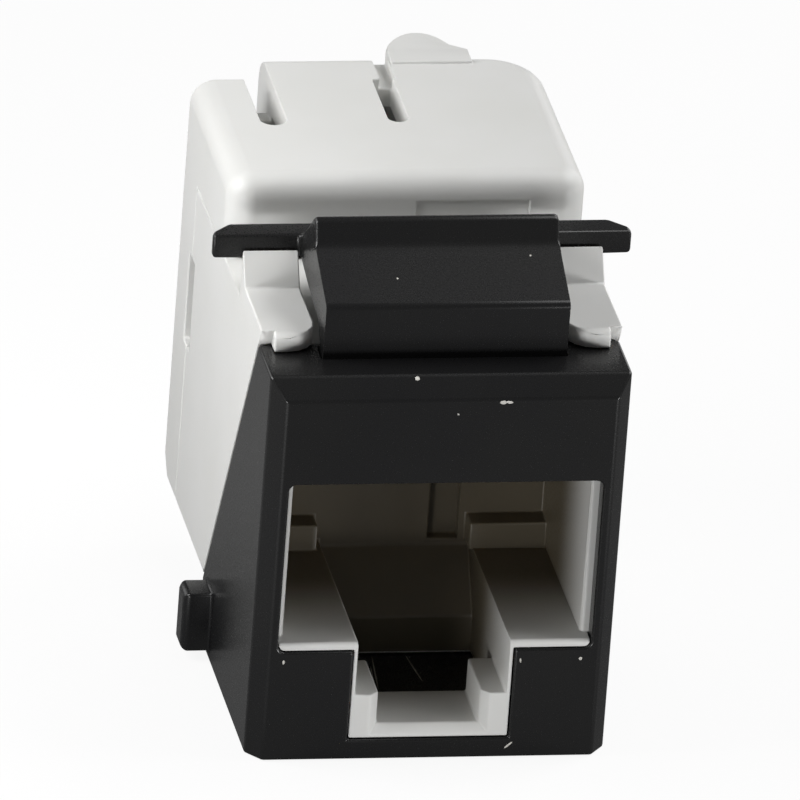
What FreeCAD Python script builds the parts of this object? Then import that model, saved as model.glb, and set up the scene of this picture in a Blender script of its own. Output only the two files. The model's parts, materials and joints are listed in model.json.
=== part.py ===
"""Keystone jack: a modular socket that snaps into a panel and takes eight wires at its rear.

X runs across the jack, Y from the front face to the rear, Z up from the base of the frame. Every
piece is drawn with its depth measured from the front face, and one shift then puts the origin under
the middle of the jack.
"""
import FreeCAD, Part
import math
import os
import re

import Sketcher

SIZES = {
    # Overall and shared
    "overall_depth": 25.0,
    "frame_width": 14.5,
    "frame_height": 16.5,
    "fit_gap": 0.05,
    # Frame
    "plate_thick": 0.8,
    "wing_thick": 0.8,
    "floor_thick": 0.85,
    "roof_thick": 1.5,
    "bevel_wide": 0.6,
    "bevel_deep": 0.75,
    "bevel_high": 0.8,
    "wing_top_depth": 3.65,
    "wing_foot_depth": 11.5,
    "wing_foot_high": 2.6,
    "cheek_width": 0.95,
    "opening_bottom": 4.74,
    "opening_high": 7.32,
    "opening_round": 0.3,
    "notch_width": 6.5,
    "side_reach": 1.17,
    "lug_front": 9.05,
    "lug_deep": 1.4,
    "lug_bottom": 0.4,
    "lug_high": 2.55,
    "lug_round": 0.3,
    # Latch, heights above the top of the frame
    "latch_inset": 2.35,
    "face_depth": 2.3,
    "root_drop": 0.1,
    "root_radius": 0.5,
    "root_lift": 0.3,
    "bend_high": 2.25,
    "bend_round": 0.3,
    "ramp_end_depth": 4.75,
    "ramp_end_high": 3.2,
    "catch_foot_depth": 5.3,
    "catch_foot_high": 3.5,
    "catch_lean": 0.4,
    "catch_crest_high": 4.45,
    "catch_crest_deep": 0.35,
    "bar_front": 8.25,
    "bar_deep": 1.2,
    "bar_top_high": 2.6,
    "bar_thick": 1.02,
    "bar_chamfer": 0.8,
    "bar_round": 0.15,
    "arm_under_depth": 6.6,
    "arm_under_high": 1.25,
    "arm_knee_depth": 3.9,
    "arm_knee_high": 0.85,
    # Housing
    "body_bottom": 2.75,
    "body_wall": 0.9,
    "seam_depth": 18.2,
    "guard_clear": 0.12,
    "guard_front": 2.85,
    "guard_strip": 0.5,
    "guard_flat_high": 0.8,
    "guard_flat_end": 7.15,
    "guard_crest_depth": 8.1,
    "guard_crest_high": 2.05,
    "guard_round": 0.35,
    "guard_corner": 1.2,
    "mouth_set": 0.1,
    "lead_in": 0.28,
    "lead_round": 0.2,
    "cavity_back": 9.5,
    "partition_thick": 1.0,
    "trough_inset": 0.2,
    "step_front": 7.6,
    "step_foot_high": 2.53,
    "step_top_high": 4.8,
    "rim_back": 3.3,
    "rim_bevel": 0.35,
    "rim_high": 2.78,
    "rim_arm": 1.2,
    "rim_slot_floor": 1.37,
    "ledge_high": 1.1,
    "ledge_deep": 1.0,
    "ledge_left_edge": 3.3,
    "ledge_right_edge": 2.85,
    "recess_left": 1.35,
    "recess_right": 2.56,
    "recess_deep": 0.5,
    "slit_ahead": 0.6,
    "slit_behind": 0.7,
    "slit_bottom": 9.57,
    "slit_high": 3.8,
    # Contacts and carrier
    "contact_pitch": 1.02,
    "contact_thick": 0.35,
    "contact_level": 9.2,
    "contact_end": 14.3,
    "contact_knee": 11.2,
    "contact_tip_depth": 4.6,
    "contact_tip_high": 12.5,
    "contact_slot": 0.6,
    "contact_slot_top": 14.0,
    "contact_slot_front": 3.8,
    "contact_hole_radius": 0.38,
    "carrier_edge": 1.83,
    "carrier_bottom": 7.4,
    "carrier_top": 12.4,
    "carrier_slot_top": 10.7,
    # Board and terminals
    "board_front": 12.8,
    "board_thick": 1.6,
    "board_gap": 0.1,
    "block_side_gap": 0.75,
    "block_rear_gap": 0.1,
    "row_spread": 7.2,
    "column_edge": 1.4,
    "channel_width": 1.1,
    "channel_deep": 2.4,
    "blade_width": 1.8,
    "blade_thick": 0.4,
    "blade_gap": 0.08,
    "blade_tip_gap": 0.5,
    "blade_slit": 0.3,
    "blade_slit_deep": 1.6,
    "blade_mouth": 0.9,
    "blade_mouth_deep": 0.45,
    "tail_width": 0.6,
    "tail_hole_radius": 0.42,
    # Cap
    "cap_front": 11.45,
    "cap_high": 3.5,
    "cap_roof": 1.3,
    "cap_rear": 21.0,
    "cap_foot_chamfer": 0.75,
    "cap_corner": 1.1,
    "cap_round": 1.0,
    "panel_left": 0.3,
    "panel_right": 4.9,
    "panel_drop": 1.0,
    "panel_high": 1.7,
    "panel_deep": 0.12,
    "boss_rear": 23.37,
    "boss_bottom": 9.6,
    "boss_round": 2.3,
    "boss_side_wall": 1.6,
    "slot_one_in": 2.15,
    "slot_one_width": 1.05,
    "slot_one_front": 16.65,
    "slot_one_deep": 1.5,
    "slot_two_left": 0.08,
    "slot_two_width": 0.82,
    "slot_two_front": 16.8,
    "slot_two_rear": 20.9,
    "dip_left": 0.38,
    "dip_width": 0.65,
    "dip_deep": 0.45,
    "tongue_middle": 2.75,
    "tongue_radius": 1.65,
    "tongue_front": 22.17,
    "tongue_thick": 1.6,
    "tongue_rise": 0.12,
    "cable_radius": 3.2,
    "cable_high": 10.2,
    "snap_thick": 0.5,
    "snap_reach": 1.8,
    "snap_bottom": 4.8,
    "snap_high": 3.2,
}

CONTACTS = 8
COLUMNS = 4
CORNER_STEPS = 4
TINY = 0.01

doc = FreeCAD.newDocument("KeystoneJack")
sheet = doc.addObject("Spreadsheet::Sheet", "Sizes")
for row, (alias, value) in enumerate(SIZES.items(), start=1):
    sheet.set(f"A{row}", alias)
    sheet.set(f"B{row}", str(value))
    sheet.setAlias(f"B{row}", alias)
doc.recompute()


def bind(expression):
    """Turn a formula of size names into one that reads the sheet."""
    return re.sub(r"[a-z]+(_[a-z]+)+", lambda name: "Sizes." + name[0], expression)


def value_of(expression):
    """The present value of a formula of size names."""
    return float(sheet.evalExpression(bind(expression)))


# Formulas that several pieces share
FRAME_HALF = "frame_width / 2"
NOSE_HALF = "(frame_width / 2 - wing_thick - fit_gap)"
OPENING_HALF = "(frame_width / 2 - cheek_width)"
REACH_HALF = "(frame_width / 2 + side_reach)"
LATCH_HALF = "(frame_width / 2 - latch_inset)"
FRAME_ROOM_TOP = "(frame_height - roof_thick)"
NOSE_FRONT = "(plate_thick + fit_gap)"
WING_SLOPE = "((wing_foot_depth - wing_top_depth) / (frame_height - wing_foot_high))"
OPENING_TOP = "(opening_bottom + opening_high)"
CAVITY_HALF = f"({OPENING_HALF} - fit_gap - lead_in)"
CAVITY_FLOOR = "(opening_bottom + fit_gap + lead_in)"
CAVITY_ROOF = "(opening_bottom + opening_high - fit_gap - lead_in)"
HINGE_LEVEL = "(frame_height - root_drop)"
HINGE_DEPTH = "(face_depth + root_radius)"
TROUGH_HALF = "(notch_width / 2 - trough_inset)"
RIM_SLOT_HALF = "(notch_width / 2 - rim_arm)"
PARTITION_BACK = "(cavity_back + partition_thick)"
ROOM_HALF = "(frame_width / 2 - body_wall)"
CONTACT_HALF = f"(contact_pitch * {(CONTACTS - 1) / 2})"
ROOM_FLOOR = "(body_bottom + body_wall)"
ROOM_TOP = "(frame_height - body_wall)"
BLOCK_FRONT = "(board_front + board_thick + fit_gap)"
BLOCK_BACK = "(seam_depth - block_rear_gap)"
BLOCK_MIDDLE = f"(({ROOM_FLOOR} + {ROOM_TOP}) / 2)"
BLOCK_HALF = f"({ROOM_HALF} - block_side_gap)"
COLUMN_PITCH = f"(({BLOCK_HALF} - column_edge) * 2 / {COLUMNS - 1})"
CAP_SEAT = "(frame_height + fit_gap)"
CAP_TOP = "(frame_height + cap_high)"
CAP_SEAM = "(seam_depth + fit_gap)"
CAP_LIP = "(cap_rear - body_wall)"
SLOT_ONE_LEFT = "(slot_one_in - frame_width / 2)"
SLOT_ONE_RIGHT = f"({SLOT_ONE_LEFT} + slot_one_width)"
TONGUE_TOP = f"({CAP_TOP} + tongue_rise)"
TONGUE_CENTRE = "(overall_depth - tongue_radius)"


def new_body(name):
    """A body named after its piece, moved so that the jack's middle is over the origin."""
    body = doc.addObject("PartDesign::Body", name)
    body.Label = name
    body.setExpression("Placement.Base.y", bind("-overall_depth / 2"))
    return body


def box_outline(low, high, bottom, top):
    """Corners of a rectangle."""
    return [(low, bottom), (high, bottom), (high, top), (low, top)]


def mirrored(outline):
    """The same outline on the other side of the vertical axis."""
    return [(f"-({across})", along) for across, along in outline]


def add_polygon(sketch, outline):
    """Draw a closed outline and tie each corner to its two formulas."""
    first = sketch.GeometryCount
    points = [FreeCAD.Vector(value_of(u), value_of(v), 0) for u, v in outline]
    count = len(points)
    sketch.addGeometry([Part.LineSegment(points[k], points[(k + 1) % count]) for k in range(count)])
    for k, (across, along) in enumerate(outline):
        here = first + k
        after = first + (k + 1) % count
        sketch.addConstraint(Sketcher.Constraint("Coincident", here, 2, after, 1))
        for kind, formula, size in (("DistanceX", across, points[k].x), ("DistanceY", along, points[k].y)):
            index = sketch.addConstraint(Sketcher.Constraint(kind, -1, 1, here, 1, size))
            sketch.setExpression(f"Constraints[{index}]", bind(formula))


def add_circle(sketch, across, along, radius):
    """Draw a circle and tie its centre and radius to their formulas."""
    centre = FreeCAD.Vector(value_of(across), value_of(along), 0)
    here = sketch.addGeometry(Part.Circle(centre, FreeCAD.Vector(0, 0, 1), value_of(radius)))
    for kind, formula, size in (("DistanceX", across, centre.x), ("DistanceY", along, centre.y)):
        index = sketch.addConstraint(Sketcher.Constraint(kind, -1, 1, here, 3, size))
        sketch.setExpression(f"Constraints[{index}]", bind(formula))
    index = sketch.addConstraint(Sketcher.Constraint("Radius", here, value_of(radius)))
    sketch.setExpression(f"Constraints[{index}]", bind(radius))


def new_sketch(body, name, plane, start, outlines):
    """A sketch on one of the body's own planes, set off along the plane's axis to start."""
    planes = {feature.Role: feature for feature in body.Origin.OriginFeatures}
    sketch = body.newObject("Sketcher::SketchObject", name)
    sketch.AttachmentSupport = [(planes[plane], "")]
    sketch.MapMode = "FlatFace"
    facing = "-" if plane == "XZ_Plane" else ""
    sketch.setExpression("AttachmentOffset.Base.z", bind(f"{facing}({start})"))
    for outline in outlines:
        if isinstance(outline, tuple):
            add_circle(sketch, *outline)
        else:
            add_polygon(sketch, outline)
    return sketch


def extrude(kind, body, name, plane, outlines, length, start=None):
    """Pad or pocket: from start towards the axis's far end, or both ways where no start is given."""
    sketch = new_sketch(body, name + "_sketch", plane, start or "0", outlines)
    feature = body.newObject("PartDesign::" + kind, name)
    feature.Profile = sketch
    feature.setExpression("Length", bind(length))
    if start is None:
        feature.SideType = "Symmetric"
    else:
        feature.Reversed = (plane == "XZ_Plane") == (kind == "Pad")
    sketch.Visibility = False
    doc.recompute()
    if kind == "Pocket":
        base = feature.BaseFeature
        if base is not None and feature.Shape.Volume > base.Shape.Volume - 1e-6:
            raise RuntimeError(f"{body.Name}: {name} cuts nothing")
    return feature


def pad(body, name, plane, outlines, length, start=None):
    return extrude("Pad", body, name, plane, outlines, length, start)


def pocket(body, name, plane, outlines, length, start=None):
    return extrude("Pocket", body, name, plane, outlines, length, start)


def repeat_across(body, name, feature, spacing, copies):
    """Repeat a feature along X, starting from the feature itself."""
    axis = next(item for item in body.Origin.OriginFeatures if item.Role == "X_Axis")
    pattern = body.newObject("PartDesign::LinearPattern", name)
    pattern.Originals = [feature]
    pattern.Direction = (axis, [""])
    pattern.setExpression("Length", bind(f"{spacing} * {copies - 1}"))
    pattern.Occurrences = copies
    body.Tip = pattern
    doc.recompute()
    return pattern


def edges_where(shape, test):
    """Names of the edges whose box passes the test."""
    return [f"Edge{k}" for k, edge in enumerate(shape.Edges, start=1) if test(edge.BoundBox)]


def dress(kind, body, name, size, test):
    """Fillet or chamfer of the edges whose box passes the test."""
    base = body.Tip
    names = edges_where(base.Shape, test)
    if not names:
        raise RuntimeError(f"{body.Name}: {name} finds no edge")
    feature = body.newObject("PartDesign::" + kind, name)
    feature.Base = (base, names)
    feature.setExpression("Radius" if kind == "Fillet" else "Size", bind(size))
    doc.recompute()
    return feature


def near(one, other):
    return abs(one - other) < TINY


def flat_in(box, axis, formula):
    """Whether an edge's box lies in the plane where the axis has the formula's value."""
    place = value_of(formula)
    low = (box.XMin, box.YMin, box.ZMin)[axis]
    high = (box.XMax, box.YMax, box.ZMax)[axis]
    return near(low, place) and near(high, place)


def wing_line(level):
    """Depth of the slanted rear edge of the frame's wings at a level."""
    return f"(wing_top_depth + (frame_height - ({level})) * {WING_SLOPE})"


def rounded_corner(across, depth, radius):
    """Outline that cuts a corner to a quarter round, drawn in short straight steps."""
    outline = [
        (f"{across} + {radius}", f"{depth} - fit_gap"),
        (f"{across} - fit_gap", f"{depth} - fit_gap"),
        (f"{across} - fit_gap", f"{depth} + {radius}"),
    ]
    for step in range(CORNER_STEPS + 1):
        turn = math.radians(90 * step / CORNER_STEPS)
        in_across = round(1 - math.cos(turn), 4)
        in_depth = round(1 - math.sin(turn), 4)
        outline.append((f"{across} + {radius} * {in_across}", f"{depth} + {radius} * {in_depth}"))
    return outline


def opening_outline(inset):
    """Plug opening with the notch below it for the plug's clip, drawn in by an inset."""
    notch = f"(notch_width / 2 - {inset})"
    half = f"({OPENING_HALF} - {inset})"
    bottom = f"opening_bottom + {inset}"
    right = [
        (notch, f"floor_thick + {inset}"),
        (notch, bottom),
        (half, bottom),
        (half, f"{OPENING_TOP} - {inset}"),
    ]
    return right + list(reversed(mirrored(right)))


def make_frame():
    """Front plate, side wings, floor and roof in one moulding, open to the rear."""
    body = new_body("keystone_frame")
    side = [
        ("0", "0"),
        ("wing_foot_depth", "0"),
        ("wing_foot_depth", "wing_foot_high"),
        ("wing_top_depth", "frame_height"),
        ("bevel_deep", "frame_height"),
        ("0", "frame_height - bevel_high"),
    ]
    pad(body, "outer", "YZ_Plane", [side], "frame_width")
    corner = [
        (f"{FRAME_HALF} - bevel_wide", "-fit_gap"),
        (f"{FRAME_HALF} + fit_gap", "-fit_gap"),
        (f"{FRAME_HALF} + fit_gap", "bevel_deep"),
        (FRAME_HALF, "bevel_deep"),
        (f"{FRAME_HALF} - bevel_wide", "0"),
    ]
    pocket(body, "corner_bevels", "XY_Plane", [corner, mirrored(corner)], "frame_height", "0")
    inner = f"({FRAME_HALF} - wing_thick)"
    room = box_outline(f"-{inner}", inner, "floor_thick", FRAME_ROOM_TOP)
    pocket(body, "room", "XZ_Plane", [room], "wing_foot_depth", "plate_thick")
    pocket(body, "opening", "XZ_Plane", [opening_outline("0")], "plate_thick * 2", "-fit_gap")
    groove = (HINGE_DEPTH, HINGE_LEVEL, "root_radius + fit_gap")
    pocket(body, "latch_groove", "YZ_Plane", [groove], f"2 * ({LATCH_HALF} + fit_gap)")
    lug = box_outline(FRAME_HALF, REACH_HALF, "lug_bottom", "lug_bottom + lug_high")
    pad(body, "lugs", "XZ_Plane", [lug, mirrored(lug)], "lug_deep", "lug_front")
    dress("Fillet", body, "lug_rounds", "lug_round",
          lambda box: flat_in(box, 0, REACH_HALF) or flat_in(box, 0, f"-({REACH_HALF})"))
    dress("Fillet", body, "opening_corners", "opening_round",
          lambda box: (near(box.YMin, 0) and near(box.YMax, value_of("plate_thick"))
                       and near(abs(box.XMin), value_of(OPENING_HALF))))
    return body


def make_latch():
    """Arm that rises from the roof, its catch step, and the bar that a finger presses."""
    body = new_body("release_latch")
    bar_bottom = "frame_height + bar_top_high - bar_thick"
    crest_depth = "(catch_foot_depth + catch_lean)"
    arm = [
        ("face_depth", "frame_height + fit_gap"),
        (f"{HINGE_DEPTH} + root_radius", "frame_height + root_lift"),
        ("arm_knee_depth", "frame_height + arm_knee_high"),
        ("arm_under_depth", "frame_height + arm_under_high"),
        ("bar_front", bar_bottom),
        ("bar_front + bar_deep", bar_bottom),
        ("bar_front + bar_deep", "frame_height + bar_top_high"),
        ("bar_front", "frame_height + bar_top_high"),
        (f"{crest_depth} + catch_crest_deep", "frame_height + catch_crest_high"),
        (crest_depth, "frame_height + catch_crest_high"),
        ("catch_foot_depth", "frame_height + catch_foot_high"),
        ("ramp_end_depth", "frame_height + ramp_end_high"),
        ("face_depth", "frame_height + bend_high"),
    ]
    pad(body, "arm", "YZ_Plane", [arm], f"2 * {LATCH_HALF}")
    dress("Fillet", body, "bend", "bend_round",
          lambda box: flat_in(box, 1, "face_depth") and flat_in(box, 2, "frame_height + bend_high"))
    pad(body, "root", "YZ_Plane", [(HINGE_DEPTH, HINGE_LEVEL, "root_radius")], f"2 * {LATCH_HALF}")
    half = [
        (REACH_HALF, "bar_front"),
        (REACH_HALF, "bar_front + bar_deep - bar_chamfer"),
        (f"{REACH_HALF} - bar_chamfer", "bar_front + bar_deep"),
    ]
    bar = half + list(reversed(mirrored(half)))
    pad(body, "bar", "XY_Plane", [bar], "bar_thick", bar_bottom)
    dress("Fillet", body, "bar_rounds", "bar_round",
          lambda box: abs(box.XMin + box.XMax) / 2 > value_of(LATCH_HALF)
          and flat_in(box, 2, "frame_height + bar_top_high") and not near(box.YMin, value_of("bar_front")))
    return body


def make_housing():
    """Nose inside the frame, plug cavity, guards beside the latch, and the room for board and terminals."""
    body = new_body("jack_housing")
    nose_top = f"({FRAME_ROOM_TOP} - fit_gap)"
    nose_floor = "(floor_thick + fit_gap)"
    nose = box_outline(f"-{NOSE_HALF}", NOSE_HALF, nose_floor, nose_top)
    pad(body, "nose", "XZ_Plane", [nose], f"wing_foot_depth - {NOSE_FRONT}", NOSE_FRONT)
    skin = [
        (f"{wing_line('body_bottom')} + fit_gap", "body_bottom"),
        ("seam_depth", "body_bottom"),
        ("seam_depth", "frame_height"),
        ("wing_top_depth + fit_gap", "frame_height"),
    ]
    pad(body, "skin", "YZ_Plane", [skin], "frame_width")
    inner = f"({LATCH_HALF} + guard_clear)"
    crest = "frame_height + guard_crest_high"
    flat = "frame_height + guard_flat_high"
    back = [
        ("guard_crest_depth", "frame_height - fit_gap"),
        ("guard_crest_depth", crest),
        ("guard_flat_end", flat),
    ]
    strip_front = f"{wing_line(flat)} + fit_gap"
    guard = [
        ("guard_front", "frame_height + fit_gap"),
        ("wing_top_depth + fit_gap", "frame_height + fit_gap"),
        ("wing_top_depth + fit_gap", "frame_height - fit_gap"),
        *back,
        ("guard_front", flat),
    ]
    strip = [("wing_top_depth + fit_gap", "frame_height - fit_gap"), *back, (strip_front, flat)]
    width = f"({FRAME_HALF} - guard_strip - {inner})"
    pad(body, "guard_right", "YZ_Plane", [guard], width, inner)
    pad(body, "guard_left", "YZ_Plane", [guard], width, f"guard_strip - {FRAME_HALF}")
    pad(body, "strip_right", "YZ_Plane", [strip], "guard_strip", f"{FRAME_HALF} - guard_strip")
    pad(body, "strip_left", "YZ_Plane", [strip], "guard_strip", f"-{FRAME_HALF}")
    dress("Fillet", body, "guard_rounds", "guard_round",
          lambda box: flat_in(box, 2, flat) and flat_in(box, 1, "guard_front"))
    corner = rounded_corner(inner, "guard_front", "guard_corner")
    pocket(body, "guard_corners", "XY_Plane", [corner, mirrored(corner)],
           "guard_crest_high", "frame_height")

    mouth_deep = f"({NOSE_FRONT} + body_wall - mouth_set)"
    lip = opening_outline("fit_gap")[:3] + [(f"({OPENING_HALF} - fit_gap)", CAVITY_FLOOR)]
    pad(body, "mouth", "XZ_Plane", [lip + list(reversed(mirrored(lip)))], mouth_deep, "mouth_set")
    dress("Fillet", body, "mouth_corners", "opening_round - fit_gap",
          lambda box: near(box.YMin, value_of("mouth_set")) and near(box.YMax, value_of(NOSE_FRONT))
          and near(abs(box.XMin), value_of(f"{OPENING_HALF} - fit_gap"))
          and box.ZMin < value_of(CAVITY_FLOOR) - TINY)
    cavity = box_outline(f"-{CAVITY_HALF}", CAVITY_HALF, CAVITY_FLOOR, CAVITY_ROOF)
    pocket(body, "cavity", "XZ_Plane", [cavity], f"cavity_back - {NOSE_FRONT}", NOSE_FRONT)
    trough = [
        ("mouth_set", f"{CAVITY_FLOOR} + fit_gap"),
        ("cavity_back", f"{CAVITY_FLOOR} + fit_gap"),
        ("cavity_back", "step_top_high"),
        ("step_front", "step_foot_high"),
        ("step_front", "0"),
        ("rim_back", "0"),
        ("rim_back", "rim_high"),
        ("mouth_set", "rim_high"),
    ]
    pocket(body, "trough", "YZ_Plane", [trough], f"2 * {TROUGH_HALF}")
    rim_slot = box_outline(f"-{RIM_SLOT_HALF}", RIM_SLOT_HALF, "rim_slot_floor", "rim_high + fit_gap")
    pocket(body, "rim_slot", "XZ_Plane", [rim_slot], "rim_back - mouth_set + fit_gap", "mouth_set")
    dress("Fillet", body, "floor_lead_in", "lead_round",
          lambda box: flat_in(box, 1, "mouth_set") and flat_in(box, 2, CAVITY_FLOOR))
    dress("Fillet", body, "wall_lead_in", "lead_round",
          lambda box: flat_in(box, 1, NOSE_FRONT) and box.ZMin > value_of(CAVITY_FLOOR) - TINY
          and (flat_in(box, 2, CAVITY_ROOF)
               or near(abs(box.XMin), value_of(CAVITY_HALF)) and near(box.XMin, box.XMax)))
    dress("Chamfer", body, "rim_lead_in", "rim_bevel",
          lambda box: flat_in(box, 1, "mouth_set")
          and (flat_in(box, 2, "rim_slot_floor")
               or near(abs(box.XMin), value_of(RIM_SLOT_HALF)) and near(box.XMin, box.XMax)))
    ledge_top = f"{CAVITY_FLOOR} + ledge_high"
    ledge_bottom = f"{CAVITY_FLOOR} - fit_gap"
    ledge_left = box_outline(f"-{CAVITY_HALF} - fit_gap", "-ledge_left_edge", ledge_bottom, ledge_top)
    ledge_right = box_outline("ledge_right_edge", f"{CAVITY_HALF} + fit_gap", ledge_bottom, ledge_top)
    pad(body, "ledges", "XZ_Plane", [ledge_left, ledge_right], "ledge_deep", "cavity_back - ledge_deep")
    recess = box_outline("recess_left", "recess_right", CAVITY_FLOOR, "contact_level - contact_slot")
    pocket(body, "recess", "XZ_Plane", [recess], "recess_deep", "cavity_back")

    room = box_outline(f"-{ROOM_HALF}", ROOM_HALF, ROOM_FLOOR, ROOM_TOP)
    pocket(body, "room", "XZ_Plane", [room], "seam_depth", PARTITION_BACK)
    lower = "contact_level - contact_slot / 2"
    slot = [
        ("contact_slot_front", f"{CAVITY_ROOF} - fit_gap"),
        ("cavity_back - fit_gap", lower),
        (f"{PARTITION_BACK} + fit_gap", lower),
        (f"{PARTITION_BACK} + fit_gap", "contact_slot_top"),
        ("contact_slot_front", "contact_slot_top"),
    ]
    slots = pocket(body, "contact_slot_cut", "YZ_Plane", [slot], "contact_slot",
                   f"-{CONTACT_HALF} - contact_slot / 2")
    repeat_across(body, "contact_slots", slots, "contact_pitch", CONTACTS)
    slit = box_outline("seam_depth - slit_ahead", "seam_depth + fit_gap",
                       "slit_bottom", "slit_bottom + slit_high")
    pocket(body, "side_slit", "YZ_Plane", [slit], "frame_width * 2")
    return body


def make_carrier():
    """Comb block that keeps the contacts apart between the partition and the board."""
    body = new_body("contact_carrier")
    front = f"{PARTITION_BACK} + fit_gap"
    half = f"({CONTACT_HALF} + carrier_edge)"
    outline = box_outline(f"-{half}", half, "carrier_bottom", "carrier_top")
    depth = f"board_front - fit_gap - ({front})"
    pad(body, "block", "XZ_Plane", [outline], depth, front)
    left = f"-{CONTACT_HALF} - contact_slot / 2"
    slot = box_outline(left, f"{left} + contact_slot",
                       "contact_level - contact_slot / 2", "carrier_slot_top")
    cut = pocket(body, "slot", "XZ_Plane", [slot], "board_front", front)
    repeat_across(body, "slots", cut, "contact_pitch", CONTACTS)
    return body


def make_contact(number):
    """Sprung contact: a flat tail in the board, a knee, and an arm that rises into the cavity roof."""
    body = new_body(f"contact_wire_{number}")
    across = f"contact_pitch * {number - (CONTACTS + 1) / 2}"
    half = "contact_thick / 2"
    rise = "((contact_tip_high - contact_level) / (contact_knee - contact_tip_depth))"
    lift = f"({half} * {rise})"
    outline = [
        ("contact_end", f"contact_level - {half}"),
        ("contact_end", f"contact_level + {half}"),
        (f"contact_knee + {lift}", f"contact_level + {half}"),
        (f"contact_tip_depth + {lift}", f"contact_tip_high + {half}"),
        (f"contact_tip_depth - {lift}", f"contact_tip_high - {half}"),
        (f"contact_knee - {lift}", f"contact_level - {half}"),
    ]
    pad(body, "strip", "YZ_Plane", [outline], "contact_thick", f"{across} - {half}")
    return body


def column_places():
    """Places of the wire channels across the block and up it."""
    for column in range(COLUMNS):
        for side in (1, -1):
            across = f"{COLUMN_PITCH} * {column - (COLUMNS - 1) / 2}"
            level = f"({BLOCK_MIDDLE} + {side} * row_spread / 2)"
            yield across, level, side


def make_board():
    """Circuit board with the holes of the contacts and of the blades' tails."""
    body = new_body("circuit_board")
    half = f"({ROOM_HALF} - board_gap)"
    outline = box_outline(f"-{half}", half, f"{ROOM_FLOOR} + board_gap", f"{ROOM_TOP} - board_gap")
    pad(body, "board", "XZ_Plane", [outline], "board_thick", "board_front")
    holes = [(f"contact_pitch * {number - (CONTACTS - 1) / 2}", "contact_level", "contact_hole_radius")
             for number in range(CONTACTS)]
    holes += [(across, level, "tail_hole_radius") for across, level, side in column_places()]
    pocket(body, "holes", "XZ_Plane", holes, "board_thick * 2", "board_front - fit_gap")
    return body


def make_block():
    """Terminal block: a wire channel for each conductor, crossed by the slot of its blade."""
    body = new_body("terminal_block")
    bottom = f"{ROOM_FLOOR} + board_gap"
    top = f"{ROOM_TOP} - board_gap"
    outline = box_outline(f"-{BLOCK_HALF}", BLOCK_HALF, bottom, top)
    pad(body, "block", "XZ_Plane", [outline], f"{BLOCK_BACK} - {BLOCK_FRONT}", BLOCK_FRONT)
    channels = []
    slots = []
    for across, level, side in column_places():
        end = f"{top} + fit_gap" if side > 0 else f"{bottom} - fit_gap"
        inner = f"{level} - {side} * channel_width"
        channels.append(box_outline(f"{across} - channel_width / 2",
                                    f"{across} + channel_width / 2", inner, end))
        reach = "(blade_width / 2 + blade_gap)"
        thick = "(blade_thick / 2 + blade_gap)"
        slots.append(box_outline(f"{across} - {reach}", f"{across} + {reach}",
                                 f"{level} - {thick}", f"{level} + {thick}"))
    pocket(body, "channels", "XZ_Plane", channels, "channel_deep * 2", f"{BLOCK_BACK} - channel_deep")
    pocket(body, "blade_slots", "XZ_Plane", slots, "seam_depth", BLOCK_FRONT)
    return body


def make_blade(number, across, level):
    """Insulation blade: a tail through the board and a fork that opens to the rear."""
    body = new_body(f"idc_blade_{number}")
    shoulder = f"{BLOCK_FRONT} + fit_gap"
    tip = f"{BLOCK_BACK} - blade_tip_gap"
    right = [
        ("tail_width / 2", "board_front"),
        ("tail_width / 2", shoulder),
        ("blade_width / 2", shoulder),
        ("blade_width / 2", tip),
        ("blade_mouth / 2", tip),
        ("blade_slit / 2", f"{tip} - blade_mouth_deep"),
        ("blade_slit / 2", f"{tip} - blade_slit_deep"),
    ]
    left = [(f"-({u})", v) for u, v in reversed(right)]
    outline = [(f"{across} + {u}", v) for u, v in right + left]
    pad(body, "fork", "XY_Plane", [outline], "blade_thick", f"{level} - blade_thick / 2")
    return body


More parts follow.
